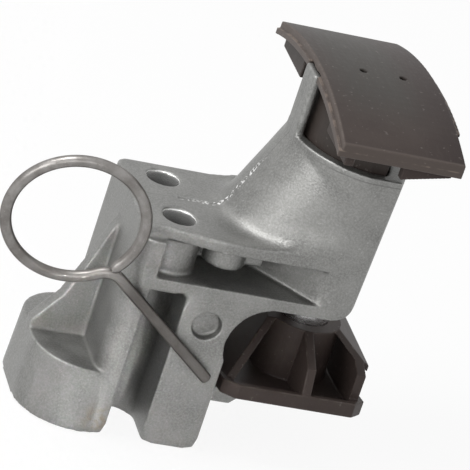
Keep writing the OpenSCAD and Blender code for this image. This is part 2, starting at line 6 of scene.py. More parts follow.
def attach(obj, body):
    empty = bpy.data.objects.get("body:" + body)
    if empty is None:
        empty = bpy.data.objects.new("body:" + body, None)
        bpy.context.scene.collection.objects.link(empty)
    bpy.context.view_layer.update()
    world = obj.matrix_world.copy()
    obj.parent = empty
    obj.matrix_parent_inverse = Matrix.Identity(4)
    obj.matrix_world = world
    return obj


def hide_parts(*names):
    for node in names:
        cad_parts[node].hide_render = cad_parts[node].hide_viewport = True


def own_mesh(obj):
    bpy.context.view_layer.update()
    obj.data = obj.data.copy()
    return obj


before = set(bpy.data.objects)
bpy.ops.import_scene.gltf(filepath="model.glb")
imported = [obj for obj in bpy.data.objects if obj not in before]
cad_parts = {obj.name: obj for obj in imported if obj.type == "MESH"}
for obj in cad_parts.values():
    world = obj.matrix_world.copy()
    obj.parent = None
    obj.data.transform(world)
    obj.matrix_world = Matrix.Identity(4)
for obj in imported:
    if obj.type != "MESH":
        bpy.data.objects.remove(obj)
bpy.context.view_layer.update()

# Sizes of the part in metres, where a finish or a fit needs them.
MM = 0.001
BOLT_X = 9 * MM
BOLT_Y = 8.5 * MM
HOLE_R = 3.5 * MM
CHAMFER = 0.3 * MM
PLATE_Z = 47.3 * MM
DECK_Z = 34.2 * MM
BORE_X = 44.3 * MM
BORE_R = 5.35 * MM
BORE_TOP = 56 * MM
BORE_SLACK = 0.05 * MM
RIM_Z = 67 * MM
TOWER_X = 46 * MM
TOWER_R = 17.5 * MM
TOWER_SKIN_R = TOWER_R - 1.8 * MM
LEAN_FOOT = 19.5 * MM
LEAN_R = 15.5 * MM
LEAN = np.radians(25.5)
HALF_DEPTH = 17 * MM
PLATE_INSET = 2.4 * MM
POCKET_LOW = 36.9 * MM
POCKET_TOP = 44.8 * MM
RAMP_FROM = 23.7 * MM
WEB = 3.3 * MM
LUG_X = (24 * MM, 27.7 * MM)
LUG_Y = (7 * MM, 12 * MM)
LUG_LOW = 40.8 * MM
OVERLAP = 0.5 * MM
GROOVE_R = 3.9 * MM
BLOCK_X = 24.9 * MM
PARTING_X = (10 * MM, 32 * MM)
PARTING_Z = (PLATE_Z - 1 * MM, 62 * MM)
BEAD_WIDTH = 0.5 * MM
BEAD_WANDER_SCALE = 180
BEAD_BREAK_SCALE = 1500
RING_X = -14.5 * MM
RING_Z = 47.5 * MM
RING_R = 13.8 * MM
RING_TURN = np.radians(10)
RING_TURN_FULL = np.radians(32)
RING_TURN_END = np.radians(40)
SLIDE_X = 42.5 * MM
SLIDE_CENTRE_Z = -12.8 * MM
LAYER_R = 93.5 * MM
OIL_HOLES_X = (39.3 * MM, 47.9 * MM)
STAIN_PLACE = (3 * MM, -16 * MM, 3.5 * MM)

# Skins: the voxel, the rounds of smoothing, the triangles that are kept, and how far a worn edge stands out.
CAST_VOXEL = 0.32 * MM
CAST_ROUNDS = 7
CAST_TRIANGLES = 195000
SHOE_VOXEL = 0.17 * MM
SHOE_TRIANGLES = 190000
PIN_VOXEL = 0.16 * MM
FINE_ROUNDS = 3
SMOOTH_ANGLE = 0.6
CAST_EDGE_FULL = 0.04 * MM
SHOE_EDGE_FULL = 0.025 * MM
EDGE_SPREAD = 2
PISTON_BEVEL = 0.15 * MM
WELD = 0.002 * MM

# Colours of the casting.
CAST_DARK = (0.175, 0.175, 0.168, 1)
CAST_PALE = (0.235, 0.235, 0.226, 1)
CAST_SPECKLE = (0.33, 0.33, 0.32, 1)
CAST_FLECK = (0.5, 0.5, 0.49, 1)
CAST_GROOVE_SHADE = (0.1, 0.098, 0.095, 1)
CAST_CREASE_SHADE = (0.1, 0.098, 0.092, 1)
CAST_EDGE = (0.42, 0.42, 0.41, 1)
CAST_STAIN = (0.19, 0.14, 0.09, 1)
CAST_SEAM_AND_RIM_SHADOW = (0.08, 0.08, 0.078, 1)
CAST_CRUMB = (0.8, 0.8, 0.79, 1)
HOLE_DEEP_SHADE = (0.3, 0.3, 0.295, 1)
HOLE_MOUTH = (0.85, 0.85, 0.84, 1)

# Colours of the shoes.
SHOE_DARK = (0.036, 0.026, 0.023, 1)
SHOE_PALE = (0.044, 0.033, 0.029, 1)
SHOE_TRACK_SHEEN = (0.038, 0.036, 0.032, 1)
SHOE_RIGHT_SHADE = (0.02, 0.013, 0.012, 1)
SHOE_FACE_SHEEN = (0.084, 0.068, 0.06, 1)
SHOE_STREAK = (0.07, 0.057, 0.052, 1)
SHOE_CREASE_SHADE = (0.022, 0.016, 0.014, 1)
SHOE_EDGE = (0.125, 0.108, 0.098, 1)
SHOE_JOINT = (0.17, 0.135, 0.112, 1)
SHOE_FLECK = (0.22, 0.2, 0.185, 1)

# Colours of the pin's wire, and tones of the steels.
WIRE_DARK = (0.195, 0.183, 0.173, 1)
WIRE_PALE = (0.3, 0.289, 0.278, 1)
WIRE_STREAK = (0.11, 0.098, 0.088, 1)
WIRE_FLECK = (0.42, 0.4, 0.38, 1)
WIRE_LOW_SHADE = (0.12, 0.11, 0.1, 1)
WIRE_SHANK = (0.075, 0.068, 0.063, 1)
WIRE_GLOSS = (0.35, 0.34, 0.33, 1)
GROUND_TONE = 0.92
SPRING_TONE = 0.32

# Stage, with lengths in metres.
FLOOR_SIZE = 6
FLOOR_Z = -0.4 * MM
FLOOR_COLOUR = (0.85, 0.85, 0.85, 1)
FLOOR_WHITE = 0.91
SKY_LIGHT = 0.5
SKY_SEEN = 1.0
MIDDLE = (0.02, 0, 0.04)
FOOT_FRONT = (-0.002, -0.017, 0.014)
CAMERA_PLACE = (-0.2328, -0.6969, 0.3701)
CAMERA_LOOK = (0.3173, 0.8592, -0.4053)
CAMERA_RIGHT = (0.9411, -0.1846, 0.2833)
CAMERA_LENS = 306.4
CAMERA_SENSOR = 36


# Modelling helpers.
def pick(obj):
    bpy.ops.object.select_all(action="DESELECT")
    obj.select_set(True)
    bpy.context.view_layer.objects.active = obj


def finish_with(obj, kind, **settings):
    pick(obj)
    modifier = obj.modifiers.new(kind.lower(), kind)
    for key, value in settings.items():
        setattr(modifier, key, value)
    bpy.ops.object.modifier_apply(modifier=modifier.name)


def copy_of_node(node, name):
    """A new piece with the node's shape, welded into one skin."""
    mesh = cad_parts[node].data.copy()
    mesh.materials.clear()
    obj = bpy.data.objects.new(name, mesh)
    bpy.context.scene.collection.objects.link(obj)
    pick(obj)
    bpy.ops.object.mode_set(mode="EDIT")
    bpy.ops.mesh.select_all(action="SELECT")
    bpy.ops.mesh.remove_doubles(threshold=WELD)
    bpy.ops.object.mode_set(mode="OBJECT")
    bpy.ops.mesh.customdata_custom_splitnormals_clear()
    return obj


def read_points(obj):
    points = np.empty(len(obj.data.vertices) * 3)
    obj.data.vertices.foreach_get("co", points)
    return points.reshape(-1, 3)


def write_points(obj, points):
    obj.data.vertices.foreach_set("co", points.ravel())
    obj.data.update()


def read_normals(obj):
    normals = np.empty(len(obj.data.vertices) * 3)
    obj.data.vertices.foreach_get("normal", normals)
    return normals.reshape(-1, 3)


def read_pairs(obj):
    """The two points of every edge."""
    pairs = np.empty(len(obj.data.edges) * 2, dtype=np.int64)
    obj.data.edges.foreach_get("vertices", pairs)
    return pairs.reshape(-1, 2)


def neighbour_mean(pairs, values):
    """The mean of a value over the points that share an edge with each point."""
    ends = pairs.ravel()
    others = pairs[:, ::-1].ravel()
    count = np.bincount(ends, minlength=len(values)).clip(1)
    columns = values.reshape(len(values), -1).T
    means = [np.bincount(ends, column[others], len(values)) / count for column in columns]
    return np.stack(means, axis=1).reshape(values.shape)


def rise(value, low, high):
    """0 below low, 1 above high, even between."""
    return np.clip((value - low) / (high - low), 0, 1)


def drop(value, low, high):
    """1 below low, 0 above high, even between."""
    return 1 - rise(value, low, high)


def blend_zone(points, pairs, share, rounds):
    """Smooths each point by its share, many times over, so that one cast face runs into the next."""
    near = pairs[(share[pairs] > 0).any(axis=1)]
    used, links = np.unique(near, return_inverse=True)
    links = links.reshape(-1, 2)
    zone = points[used]
    pull = 0.5 * share[used][:, None]
    for _ in range(rounds):
        zone += pull * (neighbour_mean(links, zone) - zone)
    points[used] = zone


def mark_edges(obj, full, spread):
    """Stores how far each point stands out of the surface round it, from -1 in a hollow to 1 on an edge."""
    points = read_points(obj)
    pairs = read_pairs(obj)
    bend = ((points - neighbour_mean(pairs, points)) * read_normals(obj)).sum(axis=1)
    for _ in range(spread):
        bend = 0.5 * (bend + neighbour_mean(pairs, bend))
    attribute = obj.data.attributes.new("stand_out", "FLOAT", "POINT")
    attribute.data.foreach_set("value", np.clip(bend / full, -1, 1).astype(np.float32))


def join_solid(obj, points, faces):
    """Adds a closed solid to a piece that is skinned afterwards."""
    mesh = bpy.data.meshes.new("solid")
    mesh.from_pydata(points, [], faces)
    solid = bpy.data.objects.new("solid", mesh)
    bpy.context.scene.collection.objects.link(solid)
    pick(solid)
    bpy.ops.object.mode_set(mode="EDIT")
    bpy.ops.mesh.select_all(action="SELECT")
    bpy.ops.mesh.normals_make_consistent(inside=False)
    bpy.ops.object.mode_set(mode="OBJECT")
    obj.select_set(True)
    bpy.context.view_layer.objects.active = obj
    bpy.ops.object.join()


def join_prism(obj, outline, low, high):
    """Adds an upright prism over an outline of (x, y) points."""
    count = len(outline)
    points = [(x, y, z) for z in (low, high) for x, y in outline]
    sides = [(i, (i + 1) % count, (i + 1) % count + count, i + count) for i in range(count)]
    join_solid(obj, points, [tuple(range(count)), tuple(range(count, 2 * count))] + sides)


def soften(obj, voxel, rounds):
    """Rounds every edge a little, as a mould leaves it."""
    finish_with(obj, "REMESH", mode="VOXEL", voxel_size=voxel, use_smooth_shade=True)
    finish_with(obj, "SMOOTH", factor=0.5, iterations=rounds)


def thin_out(obj, triangles):
    """Brings a dense skin down to about so many triangles."""
    now = 2 * len(obj.data.polygons)
    if now > triangles:
        finish_with(obj, "DECIMATE", ratio=triangles / now, use_collapse_triangulate=True)
    pick(obj)
    bpy.ops.object.shade_smooth()


def dress(obj, node, body, material):
    obj.data.materials.clear()
    obj.data.materials.append(material)
    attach(obj, body)
    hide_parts(node)


# Shader helpers.
def put(tree, kind, **settings):
    node = tree.nodes.new(kind)
    for key, value in settings.items():
        setattr(node, key, value)
    return node


def feed(tree, socket, value):
    if isinstance(value, bpy.types.NodeSocket):
        tree.links.new(value, socket)
    else:
        socket.default_value = value


def maths(tree, operation, a, b=0.0, clamp=False):
    node = put(tree, "ShaderNodeMath", operation=operation, use_clamp=clamp)
    feed(tree, node.inputs[0], a)
    feed(tree, node.inputs[1], b)
    return node.outputs[0]


def times(tree, value, *others):
    for other in others:
        value = maths(tree, "MULTIPLY", value, other)
    return value


def gap(tree, value, middle):
    """How far a value lies from a middle one, to either side."""
    return maths(tree, "ABSOLUTE", maths(tree, "SUBTRACT", value, middle))


def step(tree, value, low, high):
    """0 below low, 1 above high, smooth between."""
    node = put(tree, "ShaderNodeMapRange", interpolation_type="SMOOTHSTEP")
    feed(tree, node.inputs["Value"], value)
    feed(tree, node.inputs["From Min"], low)
    feed(tree, node.inputs["From Max"], high)
    return node.outputs["Result"]


def fall(tree, value, low, high):
    """1 below low, 0 above high, smooth between."""
    return maths(tree, "SUBTRACT", 1.0, step(tree, value, low, high))


def blend(tree, factor, a, b):
    node = put(tree, "ShaderNodeMix", data_type="RGBA")
    feed(tree, node.inputs[0], factor)
    feed(tree, node.inputs[6], a)
    feed(tree, node.inputs[7], b)
    return node.outputs[2]


def tint(tree, colour, mask, share, paint):
    """Lays a paint over the colour, by a share of the mask."""
    return blend(tree, times(tree, mask, share), colour, paint)


def slide(tree, factor, a, b):
    node = put(tree, "ShaderNodeMix", data_type="FLOAT")
    feed(tree, node.inputs[0], factor)
    feed(tree, node.inputs[2], a)
    feed(tree, node.inputs[3], b)
    return node.outputs[0]


def cloud(tree, vector, scale, detail=3.0, roughness=0.55):
    node = put(tree, "ShaderNodeTexNoise")
    feed(tree, node.inputs["Vector"], vector)
    feed(tree, node.inputs["Scale"], scale)
    feed(tree, node.inputs["Detail"], detail)
    feed(tree, node.inputs["Roughness"], roughness)
    return node.outputs["Fac"]


def stretched(tree, vector, scale):
    node = put(tree, "ShaderNodeMapping")
    feed(tree, node.inputs["Vector"], vector)
    feed(tree, node.inputs["Scale"], scale)
    return node.outputs["Vector"]


def gap_to(tree, vector, point):
    node = put(tree, "ShaderNodeVectorMath", operation="DISTANCE")
    feed(tree, node.inputs[0], vector)
    feed(tree, node.inputs[1], point)
    return node.outputs["Value"]


def split(tree, vector):
    node = put(tree, "ShaderNodeSeparateXYZ")
    feed(tree, node.inputs[0], vector)
    return node.outputs


def vector_of(tree, *values):
    node = put(tree, "ShaderNodeCombineXYZ")
    for socket, value in zip(node.inputs, values):
        feed(tree, socket, value)
    return node.outputs[0]


def new_group(name, inputs, outputs):
    tree = bpy.data.node_groups.new(name, "ShaderNodeTree")
    for socket, kind in inputs:
        tree.interface.new_socket(socket, in_out="INPUT", socket_type=kind)
    for socket, kind in outputs:
        tree.interface.new_socket(socket, in_out="OUTPUT", socket_type=kind)
    return tree, put(tree, "NodeGroupInput"), put(tree, "NodeGroupOutput")


def use_group(tree, group, **values):
    node = put(tree, "ShaderNodeGroup", node_tree=group)
    for key, value in values.items():
        feed(tree, node.inputs[key.replace("_", " ")], value)
    return node.outputs


def new_material(name):
    material = bpy.data.materials.new(name)
    material.use_nodes = True
    tree = material.node_tree
    tree.nodes.clear()
    shader = put(tree, "ShaderNodeBsdfPrincipled")
    output = put(tree, "ShaderNodeOutputMaterial")
    tree.links.new(shader.outputs[0], output.inputs[0])
    place = put(tree, "ShaderNodeTexCoord").outputs["Object"]
    return material, tree, shader, place


def set_bump(tree, shader, height, depth, strength):
    node = put(tree, "ShaderNodeBump")
    feed(tree, node.inputs["Height"], height)
    node.inputs["Distance"].default_value = depth
    node.inputs["Strength"].default_value = strength
    tree.links.new(node.outputs["Normal"], shader.inputs["Normal"])


# Shared effects.
FLOAT = "NodeSocketFloat"
VECTOR = "NodeSocketVector"


def grain_group():
    """Mottled tone, pale flecks and a fine height of a moulded or cast skin."""
    tree, start, end = new_group(
        "mould_grain",
        [("Place", VECTOR), ("Tone scale", FLOAT), ("Fleck scale", FLOAT), ("Grain scale", FLOAT)],
        [("Tone", FLOAT), ("Fleck", FLOAT), ("Height", FLOAT)],
    )
    place = start.outputs["Place"]
    broad = cloud(tree, place, start.outputs["Tone scale"], 4.0, 0.6)
    fleck = cloud(tree, place, start.outputs["Fleck scale"], 2.0, 0.5)
    grain = cloud(tree, place, start.outputs["Grain scale"], 3.0, 0.65)
    feed(tree, end.inputs["Tone"], step(tree, broad, 0.32, 0.68))
    feed(tree, end.inputs["Fleck"], step(tree, fleck, 0.66, 0.74))
    feed(tree, end.inputs["Height"], grain)
    return tree


def wear_and_shade_group():
    """Broken-up mask of worn edges, and a mask of the hollows that is used for painted shade."""
    tree, start, end = new_group(
        "edge_wear_and_crease_shade",
        [("Place", VECTOR), ("Break scale", FLOAT), ("Edge from", FLOAT), ("Edge full", FLOAT)],
        [("Edge", FLOAT), ("Hollow", FLOAT)],
    )
    stand_out = put(tree, "ShaderNodeAttribute", attribute_name="stand_out").outputs["Fac"]
    broken = cloud(tree, start.outputs["Place"], start.outputs["Break scale"], 4.0, 0.65)
    patches = step(tree, broken, 0.42, 0.66)
    edge = step(tree, stand_out, start.outputs["Edge from"], start.outputs["Edge full"])
    feed(tree, end.inputs["Edge"], times(tree, edge, patches))
    # The hollow mask darkens creases and hollows as painted shade.
    feed(tree, end.inputs["Hollow"], step(tree, times(tree, stand_out, -1.0), 0.08, 0.6))
    return tree


GRAIN = grain_group()
WEAR_AND_SHADE = wear_and_shade_group()


def cast_aluminium():
    material, tree, shader, place = new_material("cast_aluminium")
    grain = use_group(tree, GRAIN, Place=place, Tone_scale=150.0, Fleck_scale=1500.0, Grain_scale=2300.0)
    wear_and_shade = use_group(tree, WEAR_AND_SHADE, Place=place, Break_scale=600.0, Edge_from=0.25, Edge_full=0.8)
    x, y, z = split(tree, place)
    side = maths(tree, "ABSOLUTE", y)
    # Bolt holes are drilled, so they are smooth, with faint rings, and pale at the mouth; deeper down they
    # are painted darker, as painted shade.
    from_bolt = gap_to(tree, vector_of(tree, x, side), (BOLT_X, BOLT_Y, 0))
    in_hole = fall(tree, from_bolt, HOLE_R + 0.02 * MM, HOLE_R + 0.15 * MM)
    drilled = times(tree, in_hole, step(tree, z, DECK_Z - 1 * MM, DECK_Z))
    rings = cloud(tree, stretched(tree, place, (0.0, 0.0, 1.0)), 2200.0, 2.0)
    bright = blend(tree, step(tree, z, 41 * MM, PLATE_Z), HOLE_DEEP_SHADE, HOLE_MOUTH)
    # The bolt grooves are painted darker, as painted shade in the recess.
    in_groove = fall(tree, gap(tree, x, BOLT_X), GROOVE_R - 0.1 * MM, GROOVE_R + 0.2 * MM)
    under_deck = fall(tree, z, DECK_Z - 0.5 * MM, DECK_Z)
    groove_shade = times(tree, in_groove, step(tree, side, 3.5 * MM, 4.5 * MM), under_deck)
    # The flash of the mould's parting line runs in the middle plane, bright where it is rubbed.
    wander = maths(tree, "SUBTRACT", cloud(tree, place, 260.0, 3.0), 0.5)
    off_plane = maths(tree, "ABSOLUTE", maths(tree, "ADD", y, times(tree, wander, 1.2 * MM)))
    above = step(tree, z, 44 * MM, 46 * MM)
    seam_and_rim_shadow = times(tree, fall(tree, off_plane, 0.04 * MM, 0.14 * MM), above)
    crumbs = times(
        tree,
        fall(tree, off_plane, 0.4 * MM, 0.85 * MM),
        step(tree, cloud(tree, place, 1700.0, 2.0), 0.5, 0.6),
        step(tree, cloud(tree, place, 330.0, 2.0), 0.25, 0.42),
    )
    rubbed = times(
        tree,
        step(tree, x, 9 * MM, 13 * MM),
        above,
        fall(tree, z, 56 * MM, 61 * MM),
        fall(tree, x, 32 * MM, 36 * MM),
    )
    crumbs = times(tree, crumbs, rubbed)
    # A fine broken dark line runs round the tower a little under its rim, as painted shadow under the rim's
    # lip.
    rim_shadow_line = times(
        tree,
        fall(tree, gap(tree, z, RIM_Z - 1.3 * MM), 0.06 * MM, 0.22 * MM),
        step(tree, side, 9 * MM, 13 * MM),
        step(tree, cloud(tree, place, 260.0, 3.0), 0.35, 0.55),
    )
    seam_and_rim_shadow = maths(tree, "MAXIMUM", seam_and_rim_shadow, rim_shadow_line)
    # A brown stain is left at the foot's front corner.
    stain = fall(tree, gap_to(tree, place, STAIN_PLACE), 1 * MM, 4.5 * MM)
    stain = times(tree, stain, step(tree, cloud(tree, place, 700.0, 3.0), 0.4, 0.62))
    colour = blend(tree, grain["Tone"], CAST_DARK, CAST_PALE)
    speckle = step(tree, grain["Height"], 0.35, 0.7)
    colour = tint(tree, colour, speckle, 0.55, CAST_SPECKLE)
    colour = tint(tree, colour, grain["Fleck"], 0.25, CAST_FLECK)
    # Painted shade in the bolt grooves.
    colour = tint(tree, colour, groove_shade, 0.25, CAST_GROOVE_SHADE)
    # Painted shade darkens the casting's creases and hollows.
    colour = tint(tree, colour, wear_and_shade["Hollow"], 0.25, CAST_CREASE_SHADE)
    colour = tint(tree, colour, wear_and_shade["Edge"], 0.35, CAST_EDGE)
    colour = tint(tree, colour, stain, 0.6, CAST_STAIN)
    # Darkens the real parting seam, and paints the shadow line under the rim.
    colour = tint(tree, colour, seam_and_rim_shadow, 0.45, CAST_SEAM_AND_RIM_SHADOW)
    colour = tint(tree, colour, crumbs, 0.9, CAST_CRUMB)
    colour = blend(tree, drilled, colour, bright)
    rough = slide(tree, grain["Tone"], 0.4, 0.5)
    rough = slide(tree, wear_and_shade["Edge"], rough, 0.44)
    rough = slide(tree, drilled, rough, 0.26)
    height = maths(tree, "ADD", grain["Height"], times(tree, crumbs, 1.5))
    height = slide(tree, drilled, height, rings)
    feed(tree, shader.inputs["Base Color"], colour)
    feed(tree, shader.inputs["Roughness"], rough)
    shader.inputs["Metallic"].default_value = 0.85
    set_bump(tree, shader, height, 0.08 * MM, 0.85)
    return material


def shoe_plastic():
    material, tree, shader, place = new_material("shoe_plastic")
    grain = use_group(tree, GRAIN, Place=place, Tone_scale=90.0, Fleck_scale=1100.0, Grain_scale=3000.0)
    wear_and_shade = use_group(tree, WEAR_AND_SHADE, Place=place, Break_scale=420.0, Edge_from=0.2, Edge_full=0.7)
    streaks = cloud(tree, stretched(tree, place, (6.0, 1.0, 1.0)), 260.0, 3.0)
    x, y, z = split(tree, place)
    # The upper slide is painted greyer along its track and at the back, as painted sheen, and darker to the
    # front and the right, as painted shade.
    upper = step(tree, z, 64 * MM, 70 * MM)
    track_sheen = times(
        tree,
        fall(tree, gap(tree, x, SLIDE_X - 2 * MM), 4 * MM, 13 * MM),
        step(tree, y, -24 * MM, -6 * MM),
        upper,
    )
    right = times(tree, step(tree, x, 44 * MM, 57 * MM), upper)
    # Its end faces and its stepped left side are painted paler, as painted sheen.
    ends = step(tree, maths(tree, "ABSOLUTE", y), 27.3 * MM, 27.8 * MM)
    left = fall(tree, x, 29.7 * MM, 30.1 * MM)
    rim = times(tree, maths(tree, "MAXIMUM", ends, left), upper)
    # A fine pale joint shows between the slide plate and the layer under it.
    radius = gap_to(tree, vector_of(tree, 0.0, y, z), (0, 0, SLIDE_CENTRE_Z))
    joint = times(
        tree,
        fall(tree, gap(tree, radius, LAYER_R), 0.06 * MM, 0.2 * MM),
        step(tree, cloud(tree, place, 300.0, 3.0), 0.45, 0.6),
        upper,
    )
    # The oil holes are clean and dark.
    plan = vector_of(tree, x, y)
    to_hole = [gap_to(tree, plan, (hole_x, 0, 0)) for hole_x in OIL_HOLES_X]
    clear = step(tree, maths(tree, "MINIMUM", *to_hole), 0.95 * MM, 1.5 * MM)
    worn = times(tree, wear_and_shade["Edge"], clear)
    colour = blend(tree, grain["Tone"], SHOE_DARK, SHOE_PALE)
    # Painted sheen on the track and the back of the top.
    colour = tint(tree, colour, track_sheen, 0.75, SHOE_TRACK_SHEEN)
    # Painted shade to the front and the right.
    colour = tint(tree, colour, right, 0.85, SHOE_RIGHT_SHADE)
    # Painted sheen on the end faces and the left side.
    colour = tint(tree, colour, rim, 0.8, SHOE_FACE_SHEEN)
    colour = tint(tree, colour, step(tree, streaks, 0.5, 0.75), 0.15, SHOE_STREAK)
    # Painted shade darkens the shoe's creases and hollows.
    colour = tint(tree, colour, wear_and_shade["Hollow"], 0.5, SHOE_CREASE_SHADE)
    colour = tint(tree, colour, worn, 0.35, SHOE_EDGE)
    colour = tint(tree, colour, joint, 0.6, SHOE_JOINT)
    colour = tint(tree, colour, grain["Fleck"], 0.25, SHOE_FLECK)
    feed(tree, shader.inputs["Base Color"], colour)
    feed(tree, shader.inputs["Roughness"], slide(tree, streaks, 0.42, 0.56))
    shader.inputs["Specular IOR Level"].default_value = 0.2
    height = maths(tree, "ADD", grain["Height"], times(tree, streaks, 0.5))
    set_bump(tree, shader, height, 0.03 * MM, 0.5)
    return material


def drawn_wire():
    material, tree, shader, place = new_material("drawn_wire")
    grain = use_group(tree, GRAIN, Place=place, Tone_scale=240.0, Fleck_scale=1300.0, Grain_scale=3200.0)
    streaks = cloud(tree, place, 700.0, 4.0, 0.7)
    x, _, z = split(tree, place)
    colour = blend(tree, grain["Tone"], WIRE_DARK, WIRE_PALE)
    colour = tint(tree, colour, step(tree, streaks, 0.58, 0.76), 0.5, WIRE_STREAK)
    colour = tint(tree, colour, grain["Fleck"], 0.4, WIRE_FLECK)
    # The lower part of the ring is painted darker, as painted shade, and the shank is darker too.
    shank = times(tree, step(tree, x, -3 * MM, 2 * MM), fall(tree, z, 35 * MM, 39 * MM))
    # Painted shade on the lower part of the wire.
    colour = tint(tree, colour, fall(tree, z, 34 * MM, 46 * MM), 0.35, WIRE_LOW_SHADE)
    colour = tint(tree, colour, shank, 0.6, WIRE_SHANK)
    feed(tree, shader.inputs["Base Color"], colour)
    feed(tree, shader.inputs["Roughness"], slide(tree, streaks, 0.28, 0.42))
    shader.inputs["Metallic"].default_value = 0.9
    shader.inputs["Specular Tint"].default_value = WIRE_GLOSS
    set_bump(tree, shader, grain["Height"], 0.03 * MM, 0.5)
    return material


def ground_steel(name, tone):
    material, tree, shader, place = new_material(name)
    grain = use_group(tree, GRAIN, Place=place, Tone_scale=200.0, Fleck_scale=1800.0, Grain_scale=3600.0)
    lines = cloud(tree, stretched(tree, place, (1.0, 1.0, 14.0)), 420.0, 3.0)
    dark = (tone * 0.8, tone * 0.8, tone * 0.8, 1)
    pale = (tone, tone, tone * 1.01, 1)
    feed(tree, shader.inputs["Base Color"], blend(tree, grain["Tone"], dark, pale))
    feed(tree, shader.inputs["Roughness"], slide(tree, lines, 0.2, 0.34))
    shader.inputs["Metallic"].default_value = 1.0
    set_bump(tree, shader, lines, 0.004 * MM, 0.3)
    return material


aluminium = cast_aluminium()
plastic = shoe_plastic()
wire = drawn_wire()
steel = ground_steel("ground_steel", GROUND_TONE)
spring_steel = ground_steel("spring_steel", SPRING_TONE)


# Forms of the casting.
def add_pocket_forms(casting):
    """Gives each side pocket a longer square boss, and a right wall that slants from the web to the face."""
    low = POCKET_LOW - OVERLAP
    high = POCKET_TOP + OVERLAP
    face_x = RAMP_FROM + HALF_DEPTH
    for side in (-1, 1):
        outline = [
            (RAMP_FROM + WEB, side * WEB),
            (face_x, side * HALF_DEPTH),
            (face_x + 1.5 * MM, side * HALF_DEPTH),
            (face_x + 1.5 * MM, side * 0.7 * HALF_DEPTH),
            (face_x - 0.4 * MM, side * (BORE_R + 2.5 * MM)),
            (face_x - 6 * MM, side * WEB),
        ]
        join_prism(casting, outline, low, high)
        lug = [(LUG_X[i], side * LUG_Y[j]) for i, j in ((0, 0), (1, 0), (1, 1), (0, 1))]
        join_prism(casting, lug, LUG_LOW, high)


def add_lean(casting):
    """Carries the tower's leaning left wall out and down to the plate, as a crescent on the round wall."""
    heights = np.linspace(PLATE_Z - 0.3 * MM, RIM_Z - 1.5 * MM, 30)
    depths = np.linspace(-0.98 * LEAN_R, 0.98 * LEAN_R, 41)
    reach = LEAN_R / np.cos(LEAN)
    points = []
    for z in heights:
        axis_x = LEAN_FOOT + reach + (z - PLATE_Z) * np.tan(LEAN)
        for y in depths:
            inner = TOWER_X - np.sqrt((TOWER_R - 1.2 * MM) ** 2 - y ** 2)
            outer = axis_x - reach * np.sqrt(1 - (y / LEAN_R) ** 2)
            points += [(min(outer, inner - 0.05 * MM), y, z), (inner, y, z)]
    rows = len(heights)
    columns = len(depths)

    def quad(*corners):
        return [(row * columns + column) * 2 + wall for row, column, wall in corners]

    faces = []
    for row in range(rows - 1):
        up = row + 1
        for column in range(columns - 1):
            on = column + 1
            for wall in (0, 1):
                faces.append(quad((row, column, wall), (up, column, wall), (up, on, wall), (row, on, wall)))
        for column in (0, columns - 1):
            faces.append(quad((row, column, 0), (up, column, 0), (up, column, 1), (row, column, 1)))
    for column in range(columns - 1):
        on = column + 1
        for row in (0, rows - 1):
            faces.append(quad((row, column, 0), (row, on, 0), (row, on, 1), (row, column, 1)))
    join_solid(casting, points, faces)


def flatten_back_lip(points):
    """Lets the flare die out before it reaches the back edge of the plate."""
    x, y, z = points.T
    share = rise(y, 8 * MM, 14.6 * MM) * drop(x, 27 * MM, 33 * MM) * drop(z, 48 * MM, 54 * MM)
    over = np.maximum(z - PLATE_Z, 0)
    points[:, 2] -= share * over
    edge = HALF_DEPTH - PLATE_INSET * drop(x, 20 * MM, 32 * MM)
    past = (y > edge) & (z > POCKET_TOP + OVERLAP) & (x < 32 * MM)
    points[past, 1] = edge[past]


def lean_foot(points):
    """Where the leaning wall comes out of the plate, between the plate's front and back edges."""
    x, y, z = points.T
    share = rise(x, 14 * MM, 17 * MM) * drop(x, 30 * MM, 34 * MM)
    share *= drop(np.abs(y), 10 * MM, 13.5 * MM) * drop(z, 51 * MM, 54 * MM)
    return share * (z > PLATE_Z - 0.4 * MM) * (np.hypot(x - TOWER_X, y) > TOWER_SKIN_R)


def tower_skin(points):
    """Where the tower's wall, its lean and its flare run into each other and into the front face."""
    x, y, z = points.T
    low = PLATE_Z + 0.3 * MM - rise(x, 33 * MM, 38 * MM) * MM
    share = rise(z, low, low + 1.8 * MM) * drop(z, 60 * MM, 63 * MM)
    share *= rise(np.abs(y), 2 * MM, 6 * MM) * drop(x, 44 * MM, 50 * MM)
    return share * (np.hypot(x - TOWER_X, y) > TOWER_SKIN_R)


def pocket_mouth(points):
    """Where the slanting wall of a side pocket comes out at the face."""
    x, y, z = points.T
    share = rise(z, POCKET_LOW + 0.3 * MM, POCKET_LOW + 2 * MM)
    share *= drop(z, POCKET_TOP - 2 * MM, POCKET_TOP)
    share *= drop(np.abs(x - RAMP_FROM - HALF_DEPTH), 3 * MM, 6 * MM)
    return share * (np.abs(y) > HALF_DEPTH - 5 * MM)


def worn_corners(points):
    """The lower edges beside the bolt grooves and at the block, and the upper right corner of the grooves."""
    x, y, z = points.T
    share = np.zeros(len(points))
    left = BOLT_X - GROOVE_R
    right = BOLT_X + GROOVE_R
    for corner_x, corner_z in ((left, 0), (right, 0), (BLOCK_X, 0), (right, DECK_Z)):
        share = np.maximum(share, drop(np.hypot(x - corner_x, z - corner_z), 1 * MM, 2.6 * MM))
    return share * rise(np.abs(y), 6 * MM, 9 * MM)


def keep_bore_true(points):
    """Puts the bore's wall back on its radius, so that the piston keeps its clearance."""
    radial = points[:, :2] - (BORE_X, 0)
    reach = np.linalg.norm(radial, axis=1)
    inside = (reach < BORE_R + 0.2 * MM) & (reach > BORE_R - 0.4 * MM)
    inside &= (points[:, 2] < BORE_TOP - 0.3 * MM) & (points[:, 2] > DECK_Z - 0.5 * MM)
    points[inside, :2] = (BORE_X, 0) + radial[inside] * (BORE_R + BORE_SLACK) / reach[inside, None]


